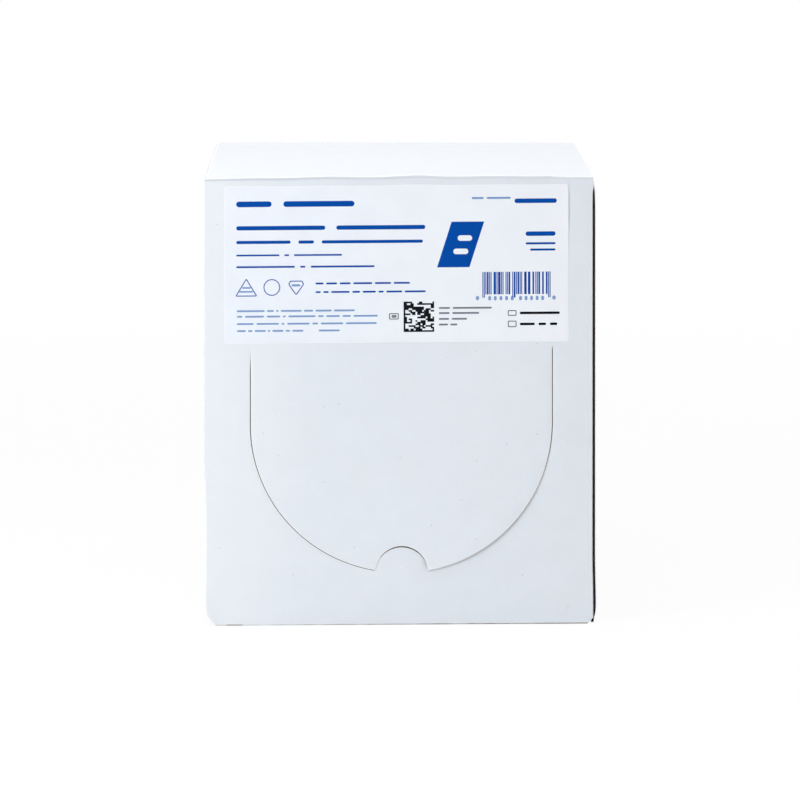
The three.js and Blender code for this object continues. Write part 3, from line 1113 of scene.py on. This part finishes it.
def make_label_paper():
    """Smooth white label stock, with a painted highlight along its cut edge and painted light that
    makes it paler towards the right.
    """
    paper = Paper("label_paper", 0.42, 0.45, (235, 240, 248))
    mottle = paper.ranged(paper.noise(14, 3), 0.3, 0.7)
    paper.tint(mottle, (238, 243, 250))
    # painted light: the label is tinted paler towards its right
    painted_light_rightward = paper.ranged(paper.across, 20, 110, 0, 0.3)
    paper.tint(painted_light_rightward, (252, 253, 254))
    # painted highlight along the cut edge
    paper.tint(paper.math("MULTIPLY", paper.wear_and_shading, 0.8), (253, 253, 254))
    return paper.finish(paper.bump(paper.noise(3, 3), 0.006))


white_liner = make_white_liner()
brown_liner = make_brown_liner()
label_paper = make_label_paper()
# painted shade: the fluting's tones are darkened to the shade inside the board
fluting = make_grainy("fluting", ROUGH_PAPER, (52, 40, 41), (80, 64, 62))
raw_edge = make_grainy("raw_edge", TORN_PAPER, (216, 222, 231), (240, 244, 250))
# painted shade: the kraft raw edges are painted near black, as they lie in shade
raw_brown = make_grainy("raw_brown", TORN_PAPER, (22, 15, 18), (40, 29, 31))
# painted shade: the packed foot's torn flutes are tinted near black
raw_flute = make_grainy("raw_flute", TORN_PAPER, (104, 79, 81), (134, 108, 107), (10, 7, 8))
blue_ink = make_grainy("blue_ink", INK, (0, 70, 158), (0, 78, 170))
pale_blue_ink = make_grainy("pale_blue_ink", INK, (118, 150, 198), (136, 166, 208))
black_ink = make_grainy("black_ink", INK, (8, 9, 13), (20, 22, 28))
grey_ink = make_grainy("grey_ink", INK, (108, 112, 124), (130, 134, 146))

# ---- floor, light and camera

FLOOR_SIZE = 40.0
NEAR_GLOW = 0.93  # how far the floor looks plain white to the camera near the box
NEAR_AND_FAR = (0.3, 0.9)  # between these distances it turns wholly so
CAMERA_DISTANCE = 1.7135
CAMERA_AZIMUTH = -0.678
CAMERA_ELEVATION = 7.921
CAMERA_ROLL = -0.211
CAMERA_LENS = 214.14
AIM_SHARE = 0.5046  # height of the camera's aim on the front, as a share of the box's


def seen_directly(tree):
    """1 for rays from the camera, from glossy surfaces and through clear ones."""
    path = add_node(tree, "LightPath", {}).outputs
    total = path["Is Camera Ray"]
    for name in ("Is Glossy Ray", "Is Transmission Ray"):
        total = add_node(tree, "Math", {0: total, 1: path[name]}, operation="MAXIMUM").outputs[0]
    return total


def make_floor():
    """A matt floor that keeps the box's shadow, and is plain white away from the box."""
    material = bpy.data.materials.new("floor_white")
    material.use_nodes = True
    tree = material.node_tree
    matt = tree.nodes["Principled BSDF"]
    grey = (0.85, 0.85, 0.85, 1)
    feed(tree, matt, {"Base Color": grey, "Roughness": 1.0, "Specular IOR Level": 0.0})
    place = add_node(tree, "NewGeometry", {}).outputs["Position"]
    distance = add_node(tree, "VectorMath", {0: place}, operation="LENGTH").outputs["Value"]
    near, far = NEAR_AND_FAR
    inputs = {"Value": distance, "From Min": near, "From Max": far, "To Min": NEAR_GLOW}
    fade = add_node(tree, "MapRange", inputs).outputs["Result"]
    inputs = {0: seen_directly(tree), 1: fade}
    share = add_node(tree, "Math", inputs, operation="MULTIPLY").outputs[0]
    glow = add_node(tree, "Emission", {}).outputs[0]
    mix = add_node(tree, "MixShader", {0: share, 1: matt.outputs[0], 2: glow})
    feed(tree, tree.nodes["Material Output"], {"Surface": mix.outputs[0]})
    half = FLOOR_SIZE / 2
    mesh = bpy.data.meshes.new("floor")
    corners = [(-half, -half, 0), (half, -half, 0), (half, half, 0), (-half, half, 0)]
    mesh.from_pydata(corners, [], [(0, 1, 2, 3)])
    mesh.materials.append(material)
    add_object("floor", mesh)


def make_world(strength):
    """Even white surroundings. Seen directly they are plain white."""
    world = bpy.data.worlds.new("studio")
    world.use_nodes = True
    tree = world.node_tree
    lit = tree.nodes["Background"]
    feed(tree, lit, {"Color": (0.98, 0.99, 1.0, 1), "Strength": strength})
    plain = add_node(tree, "Background", {"Color": (1, 1, 1, 1), "Strength": 1.0})
    inputs = {0: seen_directly(tree), 1: lit.outputs[0], 2: plain.outputs[0]}
    mix = add_node(tree, "MixShader", inputs)
    feed(tree, tree.nodes["World Output"], {"Surface": mix.outputs[0]})
    bpy.context.scene.world = world


def look(looker, direction, roll=0.0):
    looker.rotation_mode = "QUATERNION"
    rolled = Quaternion((0, 0, 1), roll)
    looker.rotation_quaternion = direction.to_track_quat("-Z", "Y") @ rolled


def add_softbox(name, place, size, power, tint):
    """A square area light that faces the middle of the box."""
    lamp = bpy.data.lights.new(name, "AREA")
    lamp.size = size
    lamp.energy = power
    lamp.color = tint
    softbox = add_object(name, lamp)
    softbox.location = place
    look(softbox, Vector((0, 0, height / 2)) - softbox.location)


def make_camera():
    azimuth = math.radians(CAMERA_AZIMUTH)
    elevation = math.radians(CAMERA_ELEVATION)
    flat = math.cos(elevation)
    away = Vector((math.sin(azimuth) * flat, -math.cos(azimuth) * flat, math.sin(elevation)))
    camera = add_object("camera", bpy.data.cameras.new("camera"))
    camera.data.lens = CAMERA_LENS
    camera.data.clip_start = 0.05
    camera.data.clip_end = 100
    camera.location = Vector((0, front, AIM_SHARE * height)) + away * CAMERA_DISTANCE
    look(camera, -away, math.radians(CAMERA_ROLL))
    bpy.context.scene.camera = camera


# ---- the scene

outline = flap_outline()
kerf = kerf_along(outline)
make_carton(offset(outline, -kerf / 2)[::-1])
make_flap(offset(outline, kerf / 2))
make_label()
make_print()

make_floor()
make_world(0.16)
add_softbox("left_light", (-0.78, -0.68, 0.5), 0.5, 6.8, (0.92, 0.96, 1.0))
add_softbox("upper_light", (-0.1, -0.2, 1.6), 1.5, 22, (1.0, 0.96, 0.93))
add_softbox("right_light", (1.3, 0.15, 0.4), 0.8, 6, (1.0, 1.0, 1.0))
make_camera()
bpy.context.scene.view_settings.view_transform = "Standard"
